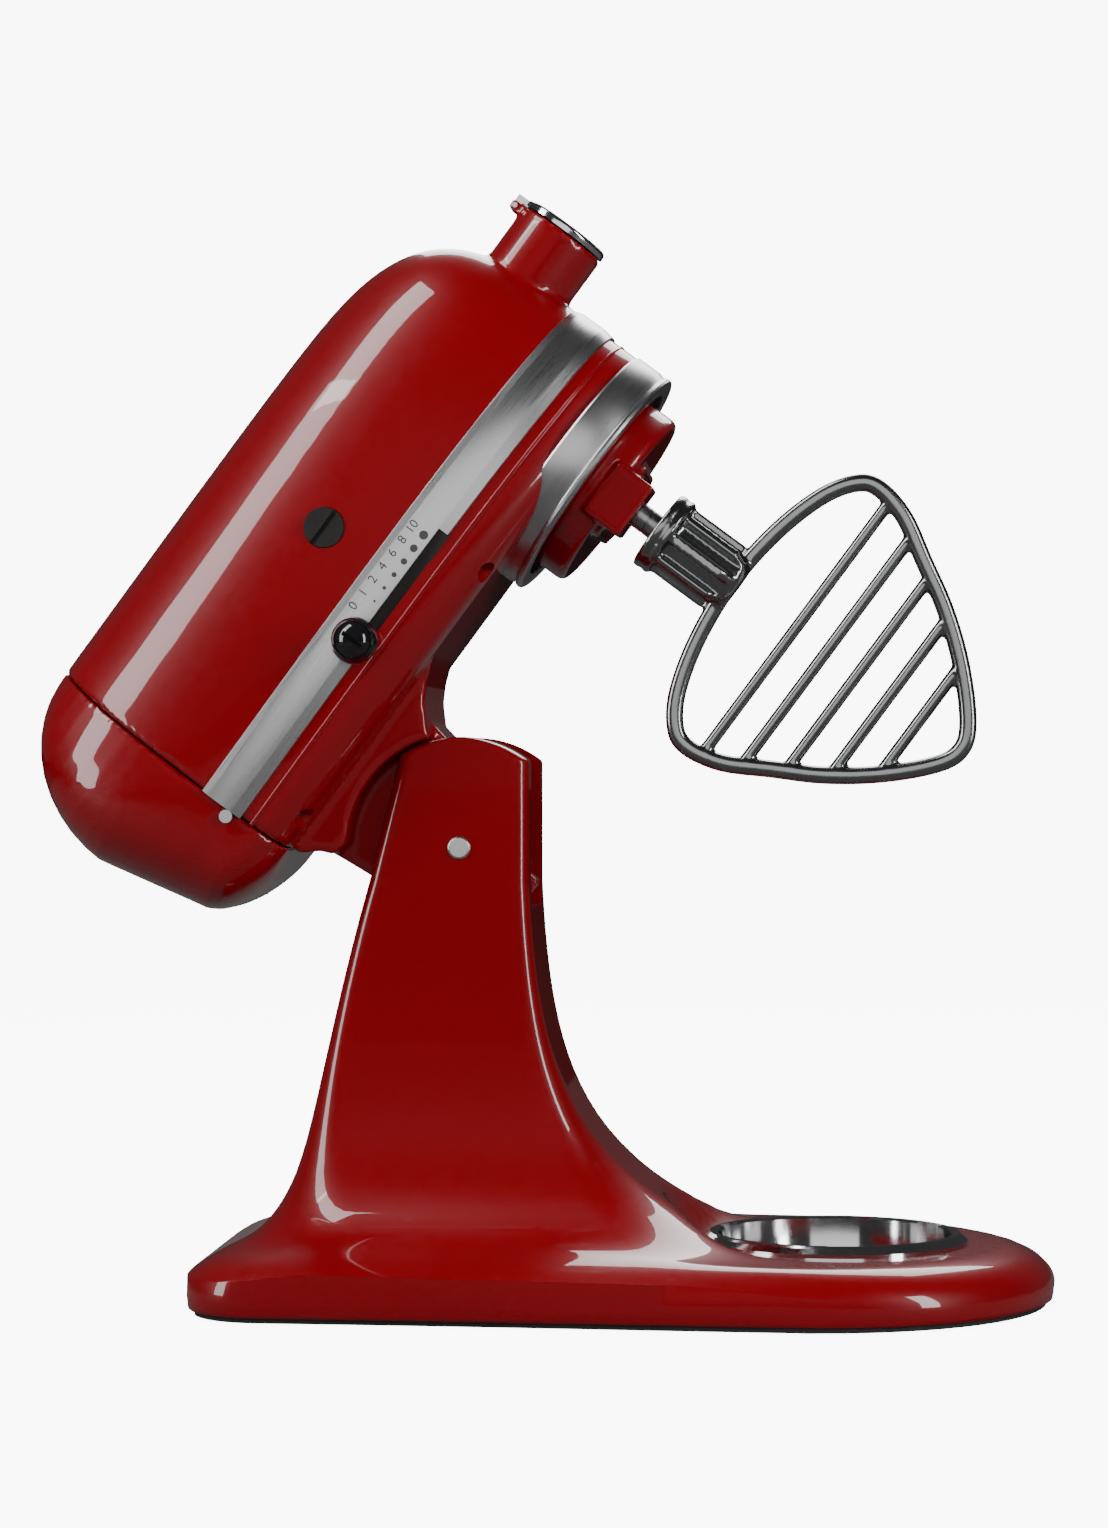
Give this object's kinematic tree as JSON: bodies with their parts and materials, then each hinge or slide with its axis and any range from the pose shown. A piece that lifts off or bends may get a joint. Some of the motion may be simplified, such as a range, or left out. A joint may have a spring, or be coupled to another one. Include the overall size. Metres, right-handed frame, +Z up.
{
  "type": "stand mixer",
  "caption": "Tilt-head stand mixer with planetary drive, flat beater, bowl clamp, attachment hub and speed slider, head tilted open.",
  "frame": {"origin": "on the table, under the middle of the mixer's box with the head tilted open", "axes": "+X to the mixer's front, +Z up, +Y to the lock lever's side"},
  "size_m": [0.409, 0.19, 0.4466],
  "materials": {
    "red_enamel": "gloss enamel",
    "chrome": "polished",
    "brushed_steel": "brushed",
    "polished_casting": "polished casting",
    "gloss_black": "gloss",
    "matte_black": "matte",
    "rubber": "matte",
    "gear_steel": "machined",
    "iron": "laminated",
    "copper": "varnished winding",
    "bronze": "sintered",
    "casting": "as cast",
    "nylon": "moulded",
    "gasket": "matte",
    "board": "solder mask"
  },
  "bodies": {
    "base": {"base_casting": "red_enamel", "column_casting": "red_enamel", "column_bolts": "gear_steel", "rubber_feet": "rubber", "bowl_clamp_plate": "chrome", "clamp_plate_screws": "chrome", "hinge_pin": "brushed_steel", "hinge_pin_screw": "gear_steel"},
    "lock": {"lock_bolt": "gear_steel", "lock_knob": "chrome"},
    "head": {"gear_case": "red_enamel", "case_gasket": "gasket", "motor_housing": "red_enamel", "end_cover": "red_enamel", "trim_band": "brushed_steel", "trim_band_screws": "brushed_steel", "case_screws": "brushed_steel", "end_cover_screw": "brushed_steel", "rear_bearing_bracket": "casting", "rear_bearing": "bronze", "front_bearing": "bronze", "stator_core": "iron", "stator_coils": "copper", "brush_holders": "bronze", "carbon_brushes": "matte_black", "brush_springs": "gear_steel", "brush_caps": "matte_black", "gear_bracket": "casting", "gear_bracket_screws": "gear_steel", "internal_ring_gear": "gear_steel", "drip_ring": "brushed_steel", "planetary_bushing": "bronze", "hub_bushing": "bronze", "hub_cover_pin": "brushed_steel", "speed_switch": "matte_black", "control_board": "board", "cord_gland": "matte_black"},
    "speed_control": {"speed_knob": "gloss_black", "speed_lever": "gear_steel"},
    "rotor": {"armature_shaft": "gear_steel", "armature_core": "iron", "commutator": "copper", "cooling_fan": "nylon"},
    "worm_gear": {"worm_wheel": "nylon", "pinion_shaft": "gear_steel"},
    "planetary": {"centre_gear": "gear_steel", "planetary_shaft": "gear_steel", "planetary_casting": "red_enamel", "planetary_pin": "gear_steel"},
    "hub_drive": {"hub_gear": "gear_steel"},
    "beater_drive": {"beater_shaft": "brushed_steel", "beater_pinion": "gear_steel", "beater_cross_pin": "brushed_steel", "beater_spring": "gear_steel"},
    "beater": {"flat_beater": "polished_casting"},
    "hub_cover": {"hub_cover": "chrome"},
    "attachment_knob": {"attachment_knob": "gloss_black"}
  },
  "joints": [
    {"name": "head_tilt", "type": "hinge", "parent": "base", "child": "head", "pos_m": [-0.032, 0, 0.1828], "axis": [0, 1, 0], "range_deg": [0, 53.4]},
    {"name": "lock_slide", "type": "slide", "parent": "base", "child": "lock", "axis": [1, 0, 0], "range_m": [0, 0.012]},
    {"name": "planetary_spin", "type": "hinge", "parent": "head", "child": "planetary", "pos_m": [0.02413, 0, 0.32547], "axis": [-0.8028, 0, 0.5962], "continuous": true},
    {"name": "beater_spin", "type": "hinge", "parent": "planetary", "child": "beater_drive", "pos_m": [0.02413, -0.0285, 0.32547], "axis": [-0.8028, 0, 0.5962], "continuous": true},
    {"name": "beater_release", "type": "slide", "parent": "beater_drive", "child": "beater", "axis": [0.8028, 0, -0.5962], "range_m": [0, 0.014]},
    {"name": "worm_gear_spin", "type": "hinge", "parent": "head", "child": "worm_gear", "pos_m": [-0.06065, 0.0271, 0.33795], "axis": [-0.8028, 0, 0.5962], "continuous": true},
    {"name": "motor_spin", "type": "hinge", "parent": "head", "child": "rotor", "pos_m": [-0.12473, 0, 0.25166], "axis": [0.5962, 0, 0.8028], "continuous": true},
    {"name": "hub_spin", "type": "hinge", "parent": "head", "child": "hub_drive", "pos_m": [-0.01265, 0, 0.40509], "axis": [0.5962, 0, 0.8028], "continuous": true},
    {"name": "speed_slide", "type": "slide", "parent": "head", "child": "speed_control", "axis": [0.5962, 0, 0.8028], "range_m": [0, 0.04]},
    {"name": "hub_cover_flip", "type": "hinge", "parent": "head", "child": "hub_cover", "pos_m": [-0.01268, 0, 0.44161], "axis": [0, -1, 0], "range_deg": [0, 100]},
    {"name": "attachment_knob_turn", "type": "hinge", "parent": "head", "child": "attachment_knob", "pos_m": [-0.00251, 0.02, 0.41874], "axis": [0, 1, 0], "continuous": true}
  ],
  "couplings": [
    {"joint": "beater_spin", "follows": "planetary_spin", "ratio": -2.7273},
    {"joint": "worm_gear_spin", "follows": "planetary_spin", "ratio": -4},
    {"joint": "motor_spin", "follows": "planetary_spin", "ratio": 40},
    {"joint": "hub_spin", "follows": "planetary_spin", "ratio": 1.5}
  ]
}
